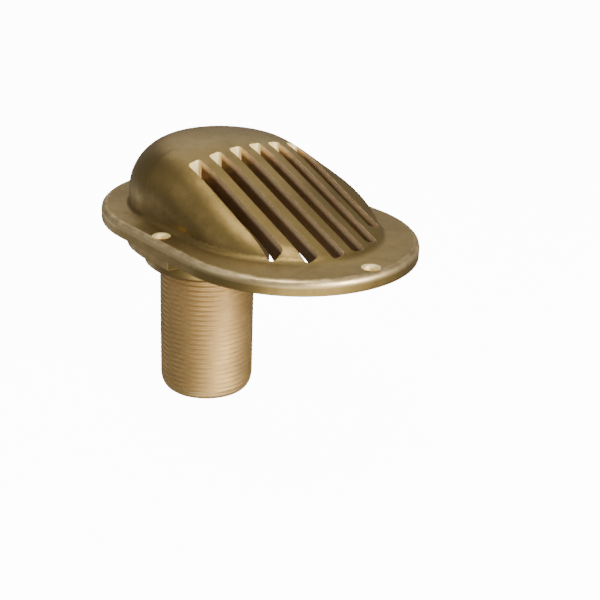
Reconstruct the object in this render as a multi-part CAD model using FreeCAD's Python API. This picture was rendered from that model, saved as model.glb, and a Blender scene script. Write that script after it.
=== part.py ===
# Scoop strainer for a 1 1/4 inch sea-water inlet, cast in bronze in one piece and machined on its tail.
# The origin is on the tail's axis, level with the underside of the flange, which lies on the hull.
# Z points away from the hull, through the dome. X points from the tail to the slotted end.
import FreeCAD, Part
import math
import os

# Tail: its outside is the crest of a 1 1/4 inch parallel pipe thread
tail_radius = 41.91 / 2
tail_length = 84.2
tail_wall = 4.8
tail_rim_width = 3.2
tail_rim_depth = 6.0

# Flange, a plate with round ends
flange_length = 149.0
flange_width = 100.8
flange_thickness = 6.0
flange_edge_rounding = 2.4
tail_to_flange_middle = 33.5

# Dome over the flange
dome_width = 79.0
dome_height = 29.6
dome_back_margin = 12.5
dome_front_margin = 12.5
dome_flank_share = 0.172
dome_nose_radius = 34.0
dome_slope = 22.5
dome_brow_share = 0.294
dome_crown = 110.0
dome_back_shoulder = 22.0
dome_front_shoulder = 6.5
wall = 7.0
foot_bevel = 1.4

# Slots, cut straight down through the slope
slot_count = 6
slot_pitch = 10.05
slot_width = 6.0
slot_corner = 1.6
slot_top_past_tail = 24.5
slot_end_margin = 4.5
slot_end_bow = 31.0

# Boss and collar under the flange, which stiffen the root of the tail
boss_depth = 11.1
boss_front_past_tail = 29.0
boss_overhang = 1.5
collar_radius = 27.5
collar_depth = 12.7
root_bevel = 1.2

# Countersunk screw holes: one at each side of the flange and one beyond the slots
screw_radius = 2.3
screw_head_radius = 3.7
screw_edge_distance = 5.6
side_screws_past_tail = 30.5

# Places that follow from the sizes above
flange_back = tail_to_flange_middle - flange_length / 2
flange_front = tail_to_flange_middle + flange_length / 2
dome_back = flange_back + dome_back_margin
dome_front = flange_front - dome_front_margin
dome_half = dome_width / 2
brow_x = dome_back + dome_half
dome_run = dome_front - brow_x
dome_top = flange_thickness + dome_height
boss_bottom = -boss_depth
collar_bottom = boss_bottom - collar_depth
bore_radius = tail_radius - tail_wall

# How many flat bands stand for a small rounding
bands = 3

# How far a cutting body runs past what it cuts, a length past the whole strainer, and how far apart two
# heights may be and still count as the same
beyond = 5.0
far = flange_length
same = 0.01


def vector(x, y, z):
    return FreeCAD.Vector(x, y, z)


def line(start, end):
    return Part.LineSegment(vector(*start), vector(*end)).toShape()


def arc_by_angles(centre_x, centre_y, radius, start, end):
    """An arc in the XY plane, from one angle in degrees to another."""
    circle = Part.Circle(vector(centre_x, centre_y, 0), vector(0, 0, 1), radius)
    return Part.Arc(circle, math.radians(start), math.radians(end)).toShape()


def slab(edges, bottom, top):
    """A solid with a flat outline, from one height to another."""
    face = Part.Face(Part.Wire(edges))
    face.translate(vector(0, 0, bottom))
    return face.extrude(vector(0, 0, top - bottom))


def cylinder(radius, bottom, top, x=0.0, y=0.0):
    return Part.makeCylinder(radius, top - bottom, vector(x, y, bottom))


def block(low_x, high_x, low_z, high_z):
    """A cutting block, wider than the strainer."""
    return Part.makeBox(high_x - low_x, 2 * far, high_z - low_z, vector(low_x, -far, low_z))


def flat_edges_at(shape, height):
    """The edges of a shape that lie flat at one height."""
    chosen = []
    for edge in shape.Edges:
        box = edge.BoundBox
        if abs(box.ZMin - height) < same and abs(box.ZMax - height) < same:
            chosen.append(edge)
    return chosen


def quarter_round(size, depth):
    """Points on a quarter of a rounding: how far in from the side, and how far down from the end."""
    points = []
    for number in range(bands + 1):
        turn = math.pi / 2 * number / bands
        points.append((size * (1 - math.cos(turn)), depth * (1 - math.sin(turn))))
    return points


def flange_outline(inset):
    """The flange's edge: two straight sides and two half circles."""
    half = flange_width / 2 - inset
    left = flange_back + flange_width / 2
    right = flange_front - flange_width / 2
    return [
        line((left, -half, 0), (right, -half, 0)),
        arc_by_angles(right, 0, half, -90, 90),
        line((right, half, 0), (left, half, 0)),
        arc_by_angles(left, 0, half, 90, 270),
    ]


def dome_outline(inset):
    """The dome's foot: a half circle round the tail, straight sides, bowed flanks and a round nose."""
    half = dome_half - inset
    nose = dome_nose_radius - inset
    nose_x = dome_front - dome_nose_radius
    flank_length = dome_flank_share * dome_run
    flank_x = nose_x - flank_length
    narrowing = dome_half - dome_nose_radius
    bow = (flank_length ** 2 + dome_half ** 2 - dome_nose_radius ** 2) / (2 * narrowing)
    flank = bow - inset
    flank_y = bow - dome_half
    turn = math.degrees(math.atan2(flank_y, flank_length))
    return [
        arc_by_angles(brow_x, 0, half, 90, 270),
        line((brow_x, -half, 0), (flank_x, -half, 0)),
        arc_by_angles(flank_x, flank_y, flank, -90, -turn),
        arc_by_angles(nose_x, 0, nose, -turn, turn),
        arc_by_angles(flank_x, -flank_y, flank, turn, 90),
        line((flank_x, half, 0), (brow_x, half, 0)),
    ]


def under_the_roof(inset):
    """What lies under the roof ahead of the brow's start: the round brow and the straight slope.

    Across, the roof is crowned: its side view is turned about a line along X, far below the dome.
    """
    slope = math.radians(dome_slope)
    radius = dome_brow_share * dome_run / math.sin(slope) - inset
    top = dome_top - inset
    axis = dome_top - dome_crown
    far_x = dome_front + beyond
    end_x = brow_x + radius * math.sin(slope)
    end_z = top - radius * (1 - math.cos(slope))
    middle_x = brow_x + radius * math.sin(slope / 2)
    middle_z = top - radius * (1 - math.cos(slope / 2))
    far_z = end_z - (far_x - end_x) * math.tan(slope)
    brow = Part.Arc(vector(brow_x, 0, top), vector(middle_x, 0, middle_z), vector(end_x, 0, end_z))
    profile = Part.Wire([
        line((brow_x, 0, axis), (brow_x, 0, top)),
        brow.toShape(),
        line((end_x, 0, end_z), (far_x, 0, far_z)),
        line((far_x, 0, far_z), (far_x, 0, axis)),
        line((far_x, 0, axis), (brow_x, 0, axis)),
    ])
    roof = Part.Face(profile).revolve(vector(0, 0, axis), vector(1, 0, 0), 360)
    roof.rotate(vector(0, 0, axis), vector(1, 0, 0), 180)
    return roof


def round_back(inset, bottom):
    """The dome's half over the tail: a crown, a round shoulder and an upright wall, turned half a circle."""
    half = dome_half - inset
    top = dome_top - inset
    axis = dome_top - dome_crown
    crown = dome_crown - inset
    shoulder = dome_back_shoulder - inset
    centre_y = half - shoulder
    centre_z = axis + math.sqrt((crown - shoulder) ** 2 - centre_y ** 2)
    lean = math.atan2(centre_y, centre_z - axis)
    halfway = (lean + math.pi / 2) / 2
    meet = (brow_x, crown * math.sin(lean), axis + crown * math.cos(lean))
    crown_arc = Part.Arc(
        vector(brow_x, 0, top),
        vector(brow_x, crown * math.sin(lean / 2), axis + crown * math.cos(lean / 2)),
        vector(*meet),
    )
    shoulder_arc = Part.Arc(
        vector(*meet),
        vector(brow_x, centre_y + shoulder * math.sin(halfway), centre_z + shoulder * math.cos(halfway)),
        vector(brow_x, half, centre_z),
    )
    profile = Part.Wire([
        line((brow_x, 0, bottom), (brow_x, 0, top)),
        crown_arc.toShape(),
        shoulder_arc.toShape(),
        line((brow_x, half, centre_z), (brow_x, half, bottom)),
        line((brow_x, half, bottom), (brow_x, 0, bottom)),
    ])
    return Part.Face(profile).revolve(vector(brow_x, 0, 0), vector(0, 0, 1), 180)


def shoulder_radius(point, inset):
    """The dome's upper edge is round, with a radius that shrinks down the slope.

    Inside, no rounding is tighter than the wall is thick.
    """
    share = (point.x - brow_x) / dome_run
    share = min(max(share, 0), 1)
    back = dome_back_shoulder - inset
    front = max(dome_front_shoulder - inset, wall)
    return back + (front - back) * share


def dome_form(inset):
    """The dome as a solid, or the hollow under it where inset is the wall. It starts below the flange."""
    bottom = -dome_height
    front = slab(dome_outline(inset), bottom, dome_top).common(under_the_roof(inset))
    outline = Part.Wire(dome_outline(inset))
    rounded = []
    for number, edge in enumerate(front.Edges, 1):
        box = edge.BoundBox
        middle = edge.valueAt((edge.FirstParameter + edge.LastParameter) / 2)
        middle.z = 0
        is_on_wall = outline.distToShape(Part.Vertex(middle))[0] < same
        is_upright = max(box.XLength, box.YLength) < same
        if is_on_wall and not is_upright and box.ZMax > bottom + same:
            start = shoulder_radius(edge.valueAt(edge.FirstParameter), inset)
            end = shoulder_radius(edge.valueAt(edge.LastParameter), inset)
            rounded.append((number, start, end))
    document = FreeCAD.newDocument("dome")
    base = document.addObject("Part::Feature", "front")
    base.Shape = front
    fillet = document.addObject("Part::Fillet", "shoulder")
    fillet.Base = base
    fillet.Edges = rounded
    document.recompute()
    front = fillet.Shape.copy()
    FreeCAD.closeDocument(document.Name)
    return front.fuse(round_back(inset, bottom)).removeSplitter()


def flange_with_dome():
    """The flange's plate, with its upper rim rounded, and the solid dome that stands on it."""
    rim = quarter_round(flange_edge_rounding, flange_edge_rounding)
    plate = slab(flange_outline(0), 0, flange_thickness - flange_edge_rounding)
    for (low_inset, low_drop), (high_inset, high_drop) in zip(rim, rim[1:]):
        low = Part.Wire(flange_outline(low_inset))
        low.translate(vector(0, 0, flange_thickness - low_drop))
        high = Part.Wire(flange_outline(high_inset))
        high.translate(vector(0, 0, flange_thickness - high_drop))
        plate = plate.fuse(Part.makeLoft([low, high], True, True))
    dome = dome_form(0).cut(block(-far, far, -far, 0))
    body = plate.fuse(dome).removeSplitter()
    foot = Part.Wire(dome_outline(0))
    foot.translate(vector(0, 0, flange_thickness))
    chosen = []
    for edge in flat_edges_at(body, flange_thickness):
        middle = edge.valueAt((edge.FirstParameter + edge.LastParameter) / 2)
        if foot.distToShape(Part.Vertex(middle))[0] < same:
            chosen.append(edge)
    return body.makeChamfer(foot_bevel, chosen)


def boss_and_collar():
    """The thick root under the tail's half of the dome, and the round collar below it."""
    boss = slab(dome_outline(-boss_overhang), boss_bottom, 0)
    boss = boss.cut(block(boss_front_past_tail, far, boss_bottom, 0))
    boss = boss.makeChamfer(root_bevel, flat_edges_at(boss, boss_bottom))
    collar = cylinder(collar_radius, collar_bottom, 0)
    collar = collar.makeChamfer(root_bevel, flat_edges_at(collar, collar_bottom))
    return boss.fuse(collar)


def tail():
    """The threaded tail, turned, with a long rounded end."""
    points = [(0, 0), (tail_radius, 0)]
    for inset, drop in quarter_round(tail_rim_width, tail_rim_depth):
        points.append((tail_radius - inset, drop - tail_length))
    points += [(0, -tail_length), (0, 0)]
    profile = Part.makePolygon([vector(x, 0, z) for x, z in points])
    return Part.Face(profile).revolve(vector(0, 0, 0), vector(0, 0, 1), 360)


def hollow():
    """The water's way: the dome's inside, open to the hull ahead of the boss, and the tail's bore."""
    inside = dome_form(wall).cut(block(-far, far, -far, 0))
    bore = cylinder(bore_radius, -tail_length - beyond, beyond)
    return inside.fuse(bore)


def slot(y):
    """One slot's cutting body: square ends with small corners, the lower end on a bowed line."""
    end_x = dome_front - slot_end_margin - slot_end_bow + math.sqrt(slot_end_bow ** 2 - y ** 2)
    length = end_x - slot_top_past_tail
    corner = vector(slot_top_past_tail, y - slot_width / 2, 0)
    body = Part.makeBox(length, slot_width, dome_top + beyond, corner)
    upright = [edge for edge in body.Edges if edge.BoundBox.ZLength > slot_width]
    return body.makeFillet(slot_corner, upright)


def screw_hole(x, y):
    """A countersunk hole through the flange."""
    sink = screw_head_radius - screw_radius
    hole = cylinder(screw_radius, -beyond, flange_thickness + beyond, x, y)
    cone = Part.makeCone(screw_radius, screw_head_radius, sink, vector(x, y, flange_thickness - sink))
    return hole.fuse([cone, cylinder(screw_head_radius, flange_thickness, flange_thickness + beyond, x, y)])


def strainer_body():
    body = flange_with_dome().fuse([boss_and_collar(), tail()])
    body = body.cut(hollow())
    first = -slot_pitch * (slot_count - 1) / 2
    body = body.cut([slot(first + slot_pitch * number) for number in range(slot_count)])
    side = flange_width / 2 - screw_edge_distance
    front = flange_front - screw_edge_distance
    places = [(side_screws_past_tail, -side), (side_screws_past_tail, side), (front, 0)]
    body = body.cut([screw_hole(x, y) for x, y in places])
    return body.removeSplitter()


os.makedirs("parts", exist_ok=True)
strainer = strainer_body()
strainer.exportStep("parts/strainer_body.step")
print("solids", len(strainer.Solids), "faces", len(strainer.Faces))
print("volume", round(strainer.Volume), "valid", strainer.isValid())
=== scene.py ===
# %% [markdown]
# # A scoop strainer, dressed in Blender
#
# A scoop strainer sits on the outside of a boat's hull and takes in sea water through its grille. The packed
# model already has its true shape, in metres: an oblong flange, a hollow dome that slopes down in a slotted
# grille, and a round tail. This script gives it what the solids leave out: the thread on the tail, the skin
# of cast bronze, the brighter metal where a tool has cut it, painted highlights on the rim and the slots'
# ends, painted light and shade on the slots' walls, and the light it is seen in.

import math

import bmesh
import bpy
from mathutils import Matrix, Vector


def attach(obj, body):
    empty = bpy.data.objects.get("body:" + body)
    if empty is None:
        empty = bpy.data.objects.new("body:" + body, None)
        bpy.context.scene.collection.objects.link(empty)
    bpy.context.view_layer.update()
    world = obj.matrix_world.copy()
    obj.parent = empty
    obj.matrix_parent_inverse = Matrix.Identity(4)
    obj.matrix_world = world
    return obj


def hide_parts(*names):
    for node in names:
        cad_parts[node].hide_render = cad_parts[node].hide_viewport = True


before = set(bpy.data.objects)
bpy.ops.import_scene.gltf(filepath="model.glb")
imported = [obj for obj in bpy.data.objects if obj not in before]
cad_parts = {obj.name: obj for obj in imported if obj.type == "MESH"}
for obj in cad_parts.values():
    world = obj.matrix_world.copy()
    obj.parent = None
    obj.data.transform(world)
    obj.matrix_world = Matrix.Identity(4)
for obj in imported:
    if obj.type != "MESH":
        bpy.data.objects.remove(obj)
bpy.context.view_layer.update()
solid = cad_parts["strainer_body"]

# %% [markdown]
# ## Sizes
#
# The object's places are repeated here in metres, because the pattern on the metal depends on them: where
# the tail is turned, where the screw holes are sunk and where the slots are cut. The origin is on the tail's
# axis at the underside of the flange, Z points out through the dome and X towards the grille.

# %% Sizes of the strainer
MM = 0.001
NEAR = 0.02 * MM

TAIL_RADIUS = 20.955 * MM
TAIL_END = -84.2 * MM
COLLAR_BOTTOM = -23.8 * MM
BORE_RADIUS = 16.155 * MM

FLANGE_HALF_WIDTH = 50.4 * MM
FLANGE_ROUND_ENDS = (9.4 * MM, 57.6 * MM)
FLANGE_TOP = 6.0 * MM
HOLES = [(30.5 * MM, -44.8 * MM), (30.5 * MM, 44.8 * MM), (102.4 * MM, 0.0)]
HOLE_HEAD = 3.7 * MM

SLOTS = [(number - 2.5) * 10.05 * MM for number in range(6)]
SLOT_WIDTH = 6.0 * MM
SLOT_TOP_X = 24.5 * MM
SLOT_FOOT_X = 90 * MM

DOME_TOP = 35.6 * MM
DOME_CROWN = 110 * MM
BROW_START = 11 * MM
BROW_RADIUS = 64.92 * MM
SLOPE = math.radians(22.5)
print("slots at y", [round(y / MM, 2) for y in SLOTS], "mm")

# %% [markdown]
# ## The camera
#
# The photo looks at the strainer from its grille end and one side, a little from above, with a normal to
# slightly long lens. The place, the tilt and the lens are set directly, as a photographer would note them, so
# that the same frame comes out each time.

# %% Camera at the photo's viewing angle
CAMERA_LENS = 69.86
CAMERA_PLACE = Vector((0.38733, -0.28577, 0.16622))
CAMERA_AZIMUTH, CAMERA_ELEVATION, CAMERA_ROLL = 48.603, 23.439, 2.338


def towards(azimuth, elevation):
    """A direction of length 1. Azimuth 0 is the side of -Y, and 90 the grille's end."""
    a, e = math.radians(azimuth), math.radians(elevation)
    return Vector((math.sin(a) * math.cos(e), -math.cos(a) * math.cos(e), math.sin(e)))


def camera_matrix(place, azimuth, elevation, roll):
    """Where the camera stands and how it is turned. Azimuth 0 looks along +Y, and 90 along -X."""
    a, r = math.radians(azimuth), math.radians(roll)
    back = towards(azimuth, elevation)
    right = Vector((math.cos(a), math.sin(a), 0))
    up = back.cross(right)
    tilted_right = right * math.cos(r) + up * math.sin(r)
    tilted_up = up * math.cos(r) - right * math.sin(r)
    turn = Matrix((tilted_right, tilted_up, back)).transposed().to_4x4()
    return Matrix.Translation(place) @ turn


camera_data = bpy.data.cameras.new("photo_camera")
camera_data.sensor_width = 36
camera_data.lens = CAMERA_LENS
camera_data.clip_start = 0.01
camera_data.clip_end = 20
camera = bpy.data.objects.new("photo_camera", camera_data)
camera.matrix_world = camera_matrix(CAMERA_PLACE, CAMERA_AZIMUTH, CAMERA_ELEVATION, CAMERA_ROLL)
bpy.context.collection.objects.link(camera)
bpy.context.scene.camera = camera
print("camera lens", camera_data.lens, "mm, place", [round(v, 3) for v in camera.location])

# %% [markdown]
# ## The floor
#
# A product photo like this one is taken on white. The floor is a single sheet that curves up all round the
# object, so no horizon shows from any side. It glows by itself, as a light table does, and is kept out of the
# metal's reflections and shadows, so that only the lamps shape the bronze.

# %% White paper that glows
def glowing_paper(name, colour, glow):
    """A plain white material that also gives off light."""
    material = bpy.data.materials.new(name)
    material.use_nodes = True
    shader = material.node_tree.nodes["Principled BSDF"]
    shader.inputs["Base Color"].default_value = (*colour, 1)
    shader.inputs["Roughness"].default_value = 0.9
    shader.inputs["Emission Color"].default_value = (*colour, 1)
    shader.inputs["Emission Strength"].default_value = glow
    return material


paper = glowing_paper("pale_paper", (0.9, 0.9, 0.9), 14.0)
print("paper", paper.name)

# %% [markdown]
# ## The shape of the floor
#
# The sheet is one section, spun round in steps: flat to two metres out, then a quarter circle, then an
# upright wall. Its rings of points are joined by four-sided faces, and the innermost ring by a fan.

# %% Floor
def floor_section(flat, radius, wall_top, bends=12):
    """The floor's profile as (distance, height) pairs from the middle outwards."""
    section = [(0.6, 0.0), (flat, 0.0)]
    for step in range(1, bends + 1):
        turn = math.pi / 2 * step / bends
        section.append((flat + radius * math.sin(turn), radius * (1 - math.cos(turn))))
    section.append((flat + radius, wall_top))
    return section


def make_floor(height, steps=72):
    """A pale round sheet, flat under the object and curved up all round."""
    section = floor_section(2.0, 0.8, 4.0)
    points = [Vector((0, 0, height))]
    for far, up in section:
        for step in range(steps):
            turn = 2 * math.pi * step / steps
            points.append(Vector((far * math.cos(turn), far * math.sin(turn), height + up)))
    faces = [(0, 1 + n, 1 + (n + 1) % steps) for n in range(steps)]
    for ring in range(len(section) - 1):
        first = 1 + ring * steps
        for n in range(steps):
            after = (n + 1) % steps
            faces.append((first + n, first + steps + n, first + steps + after, first + after))
    mesh = bpy.data.meshes.new("floor")
    mesh.from_pydata(points, [], faces)
    mesh.materials.append(paper)
    mesh.shade_smooth()
    sheet = bpy.data.objects.new("floor", mesh)
    sheet.visible_glossy = False
    sheet.visible_diffuse = False
    sheet.visible_shadow = False
    bpy.context.collection.objects.link(sheet)
    return sheet


floor = make_floor(TAIL_END)
print("floor at", round(TAIL_END, 4), "with", len(floor.data.polygons), "faces")

# %% [markdown]
# ## The lamps
#
# Polished and cast metal shows its lamps as bright patches, so each lamp has a place for a reason. The main
# light stands at the grille's end, where it draws the bright line down the tail and lights the slots' ends.
# The top light gives the rim its shine, and the table light brightens the edges that face down. Three weak
# ones, behind, at the side and low at the left, keep the dome's round back and flank from going black. All
# are square and soft, and they point at the strainer's middle.

# %% Lights
MIDDLE = Vector((0.03, 0, -0.02))
LAMPS = [
    # name, azimuth and elevation in degrees, distance and size in metres, watts, colour
    ("main_light", 97, 18, 0.9, 0.4, 14.5, (1.0, 0.95, 0.86)),
    ("top_light", 30, 80, 0.9, 0.35, 4.0, (1.0, 0.97, 0.9)),
    ("back_light", 235, 45, 1.0, 0.8, 2.0, (1, 1, 1)),
    ("side_light", -22, 32, 1.0, 0.6, 0.8, (1, 1, 1)),
    ("low_light", -68, -18, 1.0, 0.5, 0.7, (1, 1, 1)),
    ("table_light", 62, -28, 0.8, 0.9, 8.0, (1.0, 0.98, 0.94)),
]


def soft_light(name, azimuth, elevation, distance, size, watts, colour):
    """A square area light that points at the strainer's middle."""
    data = bpy.data.lights.new(name, "AREA")
    data.shape = "SQUARE"
    data.size = size
    data.energy = watts
    data.color = colour
    light = bpy.data.objects.new(name, data)
    light.location = MIDDLE + distance * towards(azimuth, elevation)
    light.rotation_mode = "QUATERNION"
    light.rotation_quaternion = (MIDDLE - light.location).to_track_quat("-Z", "Y")
    bpy.context.collection.objects.link(light)


for lamp in LAMPS:
    soft_light(*lamp)

world = bpy.data.worlds.new("white_room")
world.use_nodes = True
world.node_tree.nodes["Background"].inputs["Color"].default_value = (1, 1, 1, 1)
world.node_tree.nodes["Background"].inputs["Strength"].default_value = 0.22
bpy.context.scene.world = world

# %% [markdown]
# ## Small helpers for node trees
#
# Geometry and material patterns are both built from nodes. Three short functions keep the cells readable:
# one adds a node and sets its plain values, one links two sockets, and one does a sum.

# %% Node helpers
def add(tree, kind, values=None, **settings):
    """Adds one node. Settings are the node's own, values go to its inputs by name or number."""
    node = tree.nodes.new(kind)
    for key, value in settings.items():
        setattr(node, key, value)
    for key, value in (values or {}).items():
        node.inputs[key].default_value = value
    return node


def put(tree, source, target):
    """Links an output to an input."""
    tree.links.new(source, target)


def math_node(tree, operation, *terms):
    """One sum in a node tree. Each term is a number or an output."""
    node = add(tree, "ShaderNodeMath", operation=operation)
    for number, term in enumerate(terms):
        if isinstance(term, (int, float)):
            node.inputs[number].default_value = term
        else:
            put(tree, term, node.inputs[number])
    return node.outputs[0]


def sums_in(tree):
    """A short name for the sums of one tree."""
    return lambda *terms: math_node(tree, *terms)


print("helpers", [f.__name__ for f in (add, put, math_node, sums_in)])

# %% [markdown]
# ## The thread's sizes
#
# A pipe thread of 1 1/4 inch runs along the tail, 2.309 mm from turn to turn. It is cut shallower than the
# standard's 1.479 mm, because its lines are faint in the photo and the tail's outline is smooth. At the top
# it runs out under the collar, and at the foot it meets the tail's rounded rim. A thread follows a rule, so
# Geometry Nodes can make it, and these sizes are the tree's inputs.

# %% Inputs of the thread cutter
THREAD_SIZES = {
    "Crest Radius": TAIL_RADIUS - 0.015 * MM,
    "Depth": 0.75 * MM,
    "Pitch": 2.309 * MM,
    "Top": COLLAR_BOTTOM - 0.05 * MM,
    "End": TAIL_END,
    "Run Out": 2.2 * MM,
    "Rim Width": 3.4 * MM,
    "Rim Length": 6.6 * MM,
    "Sleeve Radius": 30 * MM,
}
THREAD_COUNTS = {"Steps Round": 97, "Rows": 240}
EXTRA_ROWS = 4


def name_inputs(tree):
    """Gives a geometry tree the thread's sizes as named inputs, and one output."""
    kinds = (("NodeSocketFloat", THREAD_SIZES), ("NodeSocketInt", THREAD_COUNTS))
    for kind, values in kinds:
        for name, value in values.items():
            socket = tree.interface.new_socket(name, in_out="INPUT", socket_type=kind)
            socket.default_value = value
    tree.interface.new_socket("Geometry", in_out="OUTPUT", socket_type="NodeSocketGeometry")


print("thread depth", round(THREAD_SIZES["Depth"] / MM, 3), "mm")

# %% [markdown]
# ## A grid over the tail
#
# The tree starts from a flat grid. One of its sides runs once round the axis, the other down the tail in
# rows. Each point is given its share of a turn, its row's number and its height. The four last rows all lie
# at the tail's end for now, and close the shape later.

# %% Turn, row and height of each point
def grid_over_tail(tree, given):
    """A flat grid, and for each point its share of a turn, its row and its height on the tail."""
    m = sums_in(tree)
    rows = m("ADD", given["Rows"], EXTRA_ROWS)
    grid = add(tree, "GeometryNodeMeshGrid", {"Size X": 1.0, "Size Y": 1.0})
    put(tree, given["Steps Round"], grid.inputs["Vertices X"])
    put(tree, rows, grid.inputs["Vertices Y"])
    place = add(tree, "ShaderNodeSeparateXYZ")
    put(tree, add(tree, "GeometryNodeInputPosition").outputs[0], place.inputs[0])
    turn = m("ADD", place.outputs["X"], 0.5)
    row = m("MULTIPLY", m("SUBTRACT", 0.5, place.outputs["Y"]), m("SUBTRACT", rows, 1))
    share = m("MINIMUM", m("DIVIDE", row, m("SUBTRACT", given["Rows"], 1)), 1.0)
    length = m("SUBTRACT", given["Top"], given["End"])
    height = m("SUBTRACT", given["Top"], m("MULTIPLY", share, length))
    return grid, turn, row, height


print("rows", THREAD_COUNTS["Rows"], "and", EXTRA_ROWS, "more")

# %% [markdown]
# ## The thread's wave
#
# Height divided by pitch, less the share of a turn, says how far along the thread's wave a point lies. A
# smooth step turns that into rounded crests and roots. The wave fades in over the run-out, and at the foot
# the wall follows the rim's quarter ellipse where that lies further in.

# %% Radius of the thread at each point
def thread_wall(tree, given, turn, height):
    """The thread's radius at each point, drawn in where the tail's foot is rounded."""
    m = sums_in(tree)
    phase = m("FRACT", m("SUBTRACT", m("DIVIDE", height, given["Pitch"]), turn))
    ridge = m("ABSOLUTE", m("SUBTRACT", m("MULTIPLY", phase, 2), 1))
    flank = add(tree, "ShaderNodeMapRange", {"From Min": 0.1, "From Max": 0.9},
                interpolation_type="SMOOTHSTEP")
    put(tree, ridge, flank.inputs["Value"])
    fade = m("MINIMUM", m("DIVIDE", m("SUBTRACT", given["Top"], height), given["Run Out"]), 1.0)
    depth = m("MULTIPLY", m("MULTIPLY", given["Depth"], flank.outputs[0]), fade)
    threaded = m("SUBTRACT", given["Crest Radius"], depth)

    rim_top = m("ADD", given["End"], given["Rim Length"])
    down = m("MAXIMUM", m("DIVIDE", m("SUBTRACT", rim_top, height), given["Rim Length"]), 0.0)
    bulge = m("SQRT", m("MAXIMUM", m("SUBTRACT", 1.0, m("MULTIPLY", down, down)), 0.0))
    rim_in = m("MULTIPLY", given["Rim Width"], m("SUBTRACT", 1.0, bulge))
    return m("MINIMUM", threaded, m("SUBTRACT", given["Crest Radius"], rim_in))


print("turns on the tail", round((COLLAR_BOTTOM - TAIL_END) / THREAD_SIZES["Pitch"], 1))

# %% [markdown]
# ## From a wall to a sleeve
#
# The tree makes the space that a thread cutter takes away: a thick sleeve whose inner wall is the thread.
# The four extra rows go below the tail, out to the sleeve's radius, up past the collar and back in, so that
# the first and the last row meet and the sleeve is closed.

# %% Bend the extra rows round
def sleeve_section(tree, given, row, height, wall):
    """Radius and height of each point, with the rows past the thread bent out, up and back in."""
    m = sums_in(tree)

    def past(number):
        """1 for the rows from this one past the thread's last row, else 0."""
        return m("GREATER_THAN", row, m("ADD", given["Rows"], number - 1.5))

    length = m("SUBTRACT", given["Top"], given["End"])
    below = m("MULTIPLY", past(1), -1.0 * MM)
    outward = m("SUBTRACT", past(2), past(4))
    back_up = m("MULTIPLY", past(3), m("ADD", length, 1.0 * MM))
    reach = m("SUBTRACT", given["Sleeve Radius"], wall)
    first_wall = m("MULTIPLY", past(4), m("SUBTRACT", given["Crest Radius"], wall))
    radius = m("ADD", wall, m("ADD", m("MULTIPLY", outward, reach), first_wall))
    return radius, m("ADD", height, m("ADD", below, back_up))


print("sleeve radius", round(THREAD_SIZES["Sleeve Radius"] / MM, 1), "mm")

# %% [markdown]
# ## The whole thread tree
#
# The parts are joined here. Each point is moved to its radius, its angle and its height, the seam is merged,
# and the tree ends in Realize Instances and Set Material. The result is read back as a plain mesh, because
# the boolean that follows works on meshes.

# %% Geometry nodes that make the thread cutter's sleeve
def thread_tree(material):
    """A tree with the thread's sizes as named inputs. Angles run once round, rows run down the tail."""
    tree = bpy.data.node_groups.new("thread_cutter", "GeometryNodeTree")
    name_inputs(tree)
    given = add(tree, "NodeGroupInput").outputs
    result = add(tree, "NodeGroupOutput")
    m = sums_in(tree)
    grid, turn, row, height = grid_over_tail(tree, given)
    wall = thread_wall(tree, given, turn, height)
    radius, z = sleeve_section(tree, given, row, height, wall)

    angle = m("MULTIPLY", turn, 2 * math.pi)
    spot = add(tree, "ShaderNodeCombineXYZ")
    put(tree, m("MULTIPLY", radius, m("COSINE", angle)), spot.inputs["X"])
    put(tree, m("MULTIPLY", radius, m("SINE", angle)), spot.inputs["Y"])
    put(tree, z, spot.inputs["Z"])
    moved = add(tree, "GeometryNodeSetPosition")
    put(tree, grid.outputs["Mesh"], moved.inputs["Geometry"])
    put(tree, spot.outputs[0], moved.inputs["Position"])
    merged = add(tree, "GeometryNodeMergeByDistance", {"Distance": 0.002 * MM})
    put(tree, moved.outputs[0], merged.inputs["Geometry"])
    real = add(tree, "GeometryNodeRealizeInstances")
    put(tree, merged.outputs[0], real.inputs["Geometry"])
    finish = add(tree, "GeometryNodeSetMaterial", {"Material": material})
    put(tree, real.outputs[0], finish.inputs["Geometry"])
    put(tree, finish.outputs[0], result.inputs[0])
    return tree


def run_tree(name, tree, values):
    """Runs a geometry tree with the given inputs and returns its result as a plain mesh object."""
    holder = bpy.data.objects.new(name, bpy.data.meshes.new(name))
    bpy.context.collection.objects.link(holder)
    modifier = holder.modifiers.new("nodes", "NODES")
    modifier.node_group = tree
    for item in tree.interface.items_tree:
        if item.in_out == "INPUT":
            modifier[item.identifier] = values[item.name]
    made = holder.evaluated_get(bpy.context.evaluated_depsgraph_get())
    mesh = bpy.data.meshes.new_from_object(made)
    holder.modifiers.remove(modifier)
    holder.data = mesh
    mesh.name = name
    return holder


turned_metal = bpy.data.materials.new("turned_bronze")
sleeve = run_tree("thread_cutter", thread_tree(turned_metal), {**THREAD_SIZES, **THREAD_COUNTS})
print("cutter", len(sleeve.data.polygons), "faces", [round(v, 4) for v in sleeve.dimensions])

# %% [markdown]
# ## The body with its thread cut
#
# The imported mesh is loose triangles, so a copy is merged first. A boolean then takes the sleeve away from
# the tail, as the thread cutter does in the lathe, and leaves one closed mesh.

# %% Helpers for whole meshes
def merged_copy(name, source):
    """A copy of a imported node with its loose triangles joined."""
    mesh = source.data.copy()
    mesh.name = name
    work = bmesh.new()
    work.from_mesh(mesh)
    bmesh.ops.remove_doubles(work, verts=work.verts, dist=0.001 * MM)
    work.to_mesh(mesh)
    work.free()
    mesh.materials.clear()
    copy = bpy.data.objects.new(name, mesh)
    bpy.context.collection.objects.link(copy)
    return copy


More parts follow.
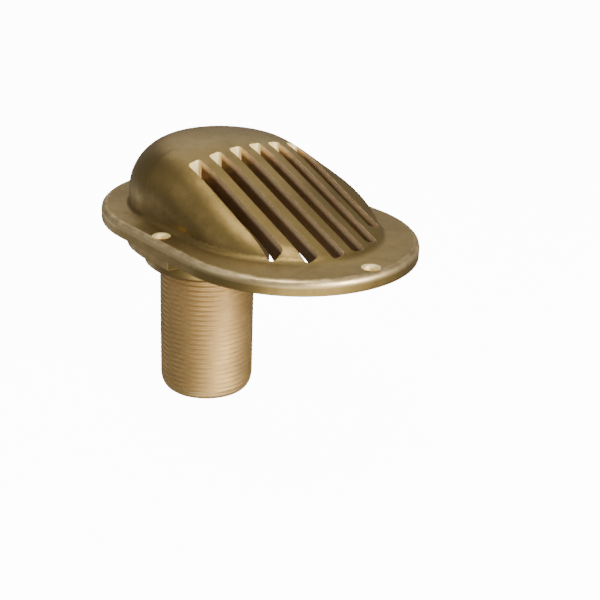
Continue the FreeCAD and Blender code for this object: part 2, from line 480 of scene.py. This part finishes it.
def turn_faces_out(target):
    """Makes a closed mesh's faces point outwards."""
    work = bmesh.new()
    work.from_mesh(target.data)
    bmesh.ops.recalc_face_normals(work, faces=work.faces)
    if work.calc_volume(signed=True) < 0:
        bmesh.ops.reverse_faces(work, faces=work.faces)
    work.to_mesh(target.data)
    work.free()


def apply_modifiers(target):
    """Turns an object's mesh into what its modifiers show, and takes them off."""
    made = target.evaluated_get(bpy.context.evaluated_depsgraph_get())
    mesh = bpy.data.meshes.new_from_object(made)
    target.modifiers.clear()
    target.data = mesh
    mesh.name = target.name


body = merged_copy("strainer", solid)
print("body", len(body.data.vertices), "points after merging")

# %% Cut the thread
turn_faces_out(sleeve)
cut = body.modifiers.new("thread", "BOOLEAN")
cut.operation = "DIFFERENCE"
cut.solver = "EXACT"
cut.object = sleeve
apply_modifiers(body)
bpy.data.objects.remove(sleeve)
print("body", len(body.data.polygons), "faces after the thread is cut")

# %% [markdown]
# ## Sharp edges and smooth roundings
#
# The edges that are sharp on the casting stay sharp, and the small roundings between them are shaded smooth,
# with normals weighted by area so that the flat faces stay flat. Each edge's own angle decides, so a thin
# triangle beside a slot can't bend the light along the slot's edge.

# %% Shade the roundings smooth
SHARP_FROM = 50


def smooth_roundings(target, sharpest):
    """Smooth shading up to an angle in degrees, weighted by face area."""
    if "custom_normal" in target.data.attributes:
        target.data.attributes.remove(target.data.attributes["custom_normal"])
    target.data.shade_smooth()
    work = bmesh.new()
    work.from_mesh(target.data)
    for edge in work.edges:
        edge.smooth = edge.calc_face_angle(0) < math.radians(sharpest)
    work.to_mesh(target.data)
    work.free()
    weighted = target.modifiers.new("weighted", "WEIGHTED_NORMAL")
    weighted.keep_sharp = True
    weighted.weight = 60
    weighted.mode = "FACE_AREA_WITH_ANGLE"
    apply_modifiers(target)


smooth_roundings(body, SHARP_FROM)
print("sharp edges", sum(1 for a in body.data.attributes["sharp_edge"].data if a.value))

# %% [markdown]
# ## Which metal is where
#
# The casting has four finishes: the skin it came out of the mould with, the golden metal that a lathe has
# cut, the walls of the slots, which carry painted light and painted shade, and a near-white finish. That last
# one is a painted highlight on the slots' upper end walls, which face the main light, and lighter cut metal
# brightened into a painted highlight in the screws' seats. Each face is given one of them by where it lies,
# which keeps the borders exactly on the edges where
# the tools stopped.

# %% Sort the faces by finish
CAST, TURNED, SLOT_WALL, FRESH_AND_HIGHLIGHT = range(4)


def is_turned(centre):
    """Whether a face lies on the threaded tail or in the bore."""
    radius = math.hypot(centre.x, centre.y)
    on_tail = centre.z < COLLAR_BOTTOM and radius < TAIL_RADIUS
    in_bore = centre.z < 0 and radius < BORE_RADIUS + 0.1 * MM
    return on_tail or in_bore


def in_screw_seat(centre, normal):
    """Whether a face is the wall of a screw hole or of its countersink."""
    beside = any(math.hypot(centre.x - x, centre.y - y) < HOLE_HEAD + NEAR for x, y in HOLES)
    return beside and abs(normal.z) < 0.95


def in_slot(centre, normal):
    """Whether a face is one of the slots' upright walls."""
    along = SLOT_TOP_X - NEAR < centre.x < SLOT_FOOT_X and centre.z > 0
    across = any(abs(centre.y - y) < SLOT_WIDTH / 2 + NEAR for y in SLOTS)
    return along and across and abs(normal.z) < 0.02


def finish_of(centre, normal):
    """The finish of a face, from its middle and the way it faces."""
    if is_turned(centre):
        return TURNED
    if in_screw_seat(centre, normal):
        # Screw seats: lighter cut metal, brightened into a painted highlight.
        return FRESH_AND_HIGHLIGHT
    if in_slot(centre, normal):
        # End walls facing the main light take the near-white painted highlight; the rest take the slots'
        # painted light and shade.
        return FRESH_AND_HIGHLIGHT if normal.x > 0.3 and centre.x < SLOT_TOP_X + 2 * MM else SLOT_WALL
    return CAST


mesh = body.data
for polygon in mesh.polygons:
    polygon.material_index = finish_of(polygon.center, polygon.normal)
counts = [sum(1 for p in mesh.polygons if p.material_index == n) for n in range(4)]
print("cast, turned, slot and fresh faces:", counts)

# %% [markdown]
# ## How deep in a slot
#
# On the real strainer the top of each slot's wall is lit as brightly as the bars, and the rest falls into
# shade.
# Every point of the mesh carries its depth below the roof, so that the slots' material can paint that shade,
# darker inwards.

# %% Depth below the roof
def roof_height(x, y):
    """The height of the dome's roof: a round brow, then a straight slope, both crowned across."""
    ahead = max(x - BROW_START, 0)
    brow_end = BROW_RADIUS * math.sin(SLOPE)
    if ahead < brow_end:
        drop = BROW_RADIUS - math.sqrt(BROW_RADIUS ** 2 - ahead ** 2)
    else:
        drop = BROW_RADIUS * (1 - math.cos(SLOPE)) + (ahead - brow_end) * math.tan(SLOPE)
    ridge = DOME_CROWN - drop
    return DOME_TOP - DOME_CROWN + math.sqrt(max(ridge ** 2 - y ** 2, 0))


depths = mesh.attributes.new("slot_depth", "FLOAT", "POINT")
for vertex, depth in zip(mesh.vertices, depths.data):
    depth.value = max(roof_height(vertex.co.x, vertex.co.y) - vertex.co.z, 0) / MM
print("deepest point in mm:", round(max(d.value for d in depths.data), 1))

# %% [markdown]
# ## Tools for shader groups
#
# Several finishes share the same effects, so each effect is a shader group with named inputs and outputs.
# These helpers make an empty group, a noise, a stretch between two limits, and a mix of two colours.

# %% Helpers for shader groups
def group(name, inputs, outputs):
    """An empty shader group with named sockets, and its two end nodes."""
    tree = bpy.data.node_groups.new(name, "ShaderNodeTree")
    kinds = {"c": "NodeSocketColor", "f": "NodeSocketFloat", "v": "NodeSocketVector"}
    for label, (kind, value) in inputs.items():
        socket = tree.interface.new_socket(label, in_out="INPUT", socket_type=kinds[kind])
        if value is not None:
            socket.default_value = value
    for label, kind in outputs.items():
        tree.interface.new_socket(label, in_out="OUTPUT", socket_type=kinds[kind])
    return tree, add(tree, "NodeGroupInput").outputs, add(tree, "NodeGroupOutput").inputs


def noise(tree, coordinates, scale, detail=3.0, roughness=0.5):
    """A noise of a given size, in features per metre."""
    node = add(tree, "ShaderNodeTexNoise", {"Scale": scale, "Detail": detail, "Roughness": roughness})
    put(tree, coordinates, node.inputs["Vector"])
    return node.outputs["Fac"]


def spread(tree, value, low, high, to_low=0.0, to_high=1.0):
    """Stretches a value between two limits, and stops it there."""
    limits = {"From Min": low, "From Max": high, "To Min": to_low, "To Max": to_high}
    node = add(tree, "ShaderNodeMapRange", limits)
    put(tree, value, node.inputs["Value"])
    return node.outputs[0]


def mix_colour(tree, share, first, second):
    """One colour turning into another. A colour is an output or a triple."""
    node = add(tree, "ShaderNodeMix", data_type="RGBA")
    for name, term in (("A_Color", first), ("B_Color", second)):
        socket = next(s for s in node.inputs if s.identifier == name)
        if isinstance(term, tuple):
            socket.default_value = (*term, 1)
        else:
            put(tree, term, socket)
    put(tree, share, node.inputs["Factor"])
    return next(s for s in node.outputs if s.identifier == "Result_Color")


print("helpers", [f.__name__ for f in (group, noise, spread, mix_colour)])

# %% [markdown]
# ## The skin of cast bronze
#
# Bronze from a sand mould is a dull olive brown with slow changes of tone, a fine grain and a satin gloss.
# The group "cast_skin" mixes three noises of different size into a colour, a roughness and a height: clouds
# a few centimetres wide, patches of some millimetres, and the grain of the sand.

# %% Cast skin group
CLOUDS, PATCHES, SAND_GRAINS = 28, 160, 1500


def cast_skin_group():
    """The skin's colour, roughness and height, from clouds, patches and grain."""
    tree, given, made = group("cast_skin", {
        "Position": ("v", None),
        "Light Tone": ("c", (0.4, 0.31, 0.16, 1)),
        "Dark Tone": ("c", (0.2, 0.15, 0.08, 1)),
        "Grain": ("f", 1.0),
        "Roughness": ("f", 0.4),
    }, {"Colour": "c", "Roughness": "f", "Height": "f"})
    m = sums_in(tree)
    cloud = spread(tree, noise(tree, given["Position"], CLOUDS, 2), 0.35, 0.65)
    patch = spread(tree, noise(tree, given["Position"], PATCHES, 4, 0.6), 0.35, 0.7)
    grain = noise(tree, given["Position"], SAND_GRAINS, 3, 0.6)
    speck = m("MULTIPLY", spread(tree, grain, 0.35, 0.7), given["Grain"])
    slow = m("ADD", m("MULTIPLY", cloud, 0.55), m("MULTIPLY", patch, 0.3))
    tone = m("ADD", slow, m("MULTIPLY", speck, 0.25))
    put(tree, mix_colour(tree, tone, given["Light Tone"], given["Dark Tone"]), made["Colour"])
    put(tree, m("ADD", given["Roughness"], m("MULTIPLY", patch, 0.12)), made["Roughness"])
    bumps = m("MULTIPLY", grain, given["Grain"])
    put(tree, m("ADD", bumps, m("MULTIPLY", patch, 0.6)), made["Height"])
    return tree


cast_skin = cast_skin_group()
print("group", cast_skin.name)

# %% [markdown]
# ## The rubbed rim and its painted highlight
#
# Handling has rubbed the brown off the flange's upper edge, and its golden colour is also a painted
# highlight:
# the shine of the top light along the rounded edge. The group "rubbed_rim_and_highlight" finds that edge
# from a point's distance to the flange's outline, which is a straight piece with two half circles, and from
# its height. A noise makes the border ragged.

# %% Rim wear and highlight group
RAGS = 220


def rubbed_rim_and_highlight_group():
    """A mask that is 1 on the flange's upper edge, rubbed and painted with a highlight."""
    tree, given, made = group("rubbed_rim_and_highlight", {
        "Position": ("v", None),
        "Half Width": ("f", FLANGE_HALF_WIDTH),
        "Back X": ("f", FLANGE_ROUND_ENDS[0]),
        "Front X": ("f", FLANGE_ROUND_ENDS[1]),
        "Reach": ("f", 3.2 * MM),
        "Top": ("f", FLANGE_TOP),
    }, {"Mask": "f"})
    m = sums_in(tree)
    at = add(tree, "ShaderNodeSeparateXYZ")
    put(tree, given["Position"], at.inputs[0])
    past_front = m("MAXIMUM", m("SUBTRACT", at.outputs["X"], given["Front X"]), 0.0)
    past_back = m("MAXIMUM", m("SUBTRACT", given["Back X"], at.outputs["X"]), 0.0)
    along = m("ADD", past_front, past_back)
    squared = m("ADD", m("MULTIPLY", along, along), m("MULTIPLY", at.outputs["Y"], at.outputs["Y"]))
    inset = m("SUBTRACT", given["Half Width"], m("SQRT", squared))
    ragged = m("MULTIPLY", noise(tree, given["Position"], RAGS, 4, 0.6), given["Reach"])
    near = m("DIVIDE", m("SUBTRACT", ragged, inset), given["Reach"])
    high = m("DIVIDE", m("SUBTRACT", at.outputs["Z"], given["Top"]), given["Reach"])
    band = m("ADD", spread(tree, near, -0.35, 0.35), spread(tree, high, -1.0, -0.2, -1.0, 0.0))
    put(tree, m("MAXIMUM", band, 0.0), made["Mask"])
    return tree


rubbed_rim_and_highlight = rubbed_rim_and_highlight_group()
print("group", rubbed_rim_and_highlight.name)

# %% [markdown]
# ## Four finishes of one bronze
#
# Each finish is a material with the skin's group in it and its own tones, grain and gloss. A Bevel node
# rounds the light on hard edges. The slots' walls are a light brown that paints the light on their upper
# part, and the near-white finish is partly cut metal and partly a painted highlight. These two are a little
# less metallic than the rest, because a coarse cut scatters light more as plaster does than as a mirror.

# %% Bronze finishes
def place_group(tree, which, values):
    """Puts a shader group into a material, on Object coordinates."""
    node = add(tree, "ShaderNodeGroup", node_tree=which)
    put(tree, add(tree, "ShaderNodeTexCoord").outputs["Object"], node.inputs["Position"])
    for label, value in values.items():
        node.inputs[label].default_value = value
    return node.outputs


def bronze(name, light, dark, grain, roughness, bump, metallic=1.0):
    """A bronze finish. The skin's group gives colour, gloss and height, and a bevel softens hard edges."""
    material = bpy.data.materials.get(name) or bpy.data.materials.new(name)
    material.use_nodes = True
    tree = material.node_tree
    shader = tree.nodes["Principled BSDF"]
    shader.inputs["Metallic"].default_value = metallic
    skin = place_group(tree, cast_skin, {
        "Light Tone": (*light, 1), "Dark Tone": (*dark, 1), "Grain": grain, "Roughness": roughness})
    put(tree, skin["Colour"], shader.inputs["Base Color"])
    put(tree, skin["Roughness"], shader.inputs["Roughness"])
    relief = add(tree, "ShaderNodeBump", {"Strength": bump, "Distance": 0.1 * MM})
    put(tree, skin["Height"], relief.inputs["Height"])
    soft_edge = add(tree, "ShaderNodeBevel", {"Radius": 0.35 * MM}, samples=4)
    put(tree, soft_edge.outputs[0], relief.inputs["Normal"])
    put(tree, relief.outputs[0], shader.inputs["Normal"])
    return material


cast_metal = bronze("cast_bronze", light=(0.355, 0.25, 0.088), dark=(0.215, 0.148, 0.05),
                    grain=0.6, roughness=0.38, bump=0.35)
turned_metal = bronze("turned_bronze", light=(0.63, 0.435, 0.185), dark=(0.46, 0.315, 0.13),
                      grain=0.3, roughness=0.48, bump=0.15)
# Painted light: the slots' walls are a light brown, as their lit upper part looks; painted shade is layered
# on below.
slot_painted_light_and_shade = bronze("slot_bronze_painted_light_and_shade", light=(0.85, 0.66, 0.42), dark=(0.62, 0.47, 0.28),
                    grain=0.6, roughness=0.55, bump=0.35, metallic=0.6)
# Painted highlight: near-white on the slots' end walls that face the main light, and on the screws' lighter
# cut seats.
fresh_and_highlight_metal = bronze("fresh_bronze_and_highlight", light=(1.0, 0.86, 0.46), dark=(1.0, 0.8, 0.4),
                     grain=0.3, roughness=0.55, bump=0.2, metallic=0.9)
for material in (cast_metal, turned_metal, slot_painted_light_and_shade, fresh_and_highlight_metal):
    mesh.materials.append(material)
print("materials", [m.name for m in mesh.materials])

# %% [markdown]
# ## Worn rim and dark slots
#
# Two finishes get one more layer between the skin's colour and the shader: the cast skin turns golden where
# the rim is rubbed, which also paints its highlight, and the slots' walls get painted shade, dark brown
# between two depths below the roof.

# %% Second layers
# Golden rubbed metal, which also paints the rim's highlight.
RUBBED_AND_HIGHLIGHT = (0.85, 0.66, 0.36)
# Painted shade in the slots, from the first depth to the second in millimetres below the roof.
SLOT_PAINTED_SHADE = (0.16, 0.085, 0.03)
PAINTED_SHADE_FROM, PAINTED_SHADE_BY = 1.4, 3.2


def layer_over(material, share, colour):
    """Mixes a plain colour over a material's own, by a mask."""
    tree = material.node_tree
    base = tree.nodes["Principled BSDF"].inputs["Base Color"]
    under = base.links[0].from_socket
    put(tree, mix_colour(tree, share, under, colour), base)


# The rim's rubbed edge and its painted highlight, mixed over the cast skin.
worn_and_highlight = place_group(cast_metal.node_tree, rubbed_rim_and_highlight, {})["Mask"]
layer_over(cast_metal, worn_and_highlight, RUBBED_AND_HIGHLIGHT)

# The slots' walls darken with depth below the roof: painted shade.
tree = slot_painted_light_and_shade.node_tree
below_roof = add(tree, "ShaderNodeAttribute", attribute_name="slot_depth").outputs["Fac"]
layer_over(slot_painted_light_and_shade, spread(tree, below_roof, PAINTED_SHADE_FROM, PAINTED_SHADE_BY), SLOT_PAINTED_SHADE)
print("layers on", cast_metal.name, "and", slot_painted_light_and_shade.name)

# %% [markdown]
# ## Hand over
#
# The dressed body takes the imported node's place.

# %% Ride and finish
solid.data.materials.clear()
solid.data.materials.append(cast_metal)
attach(body, "root")
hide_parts("strainer_body")

bpy.context.view_layer.update()
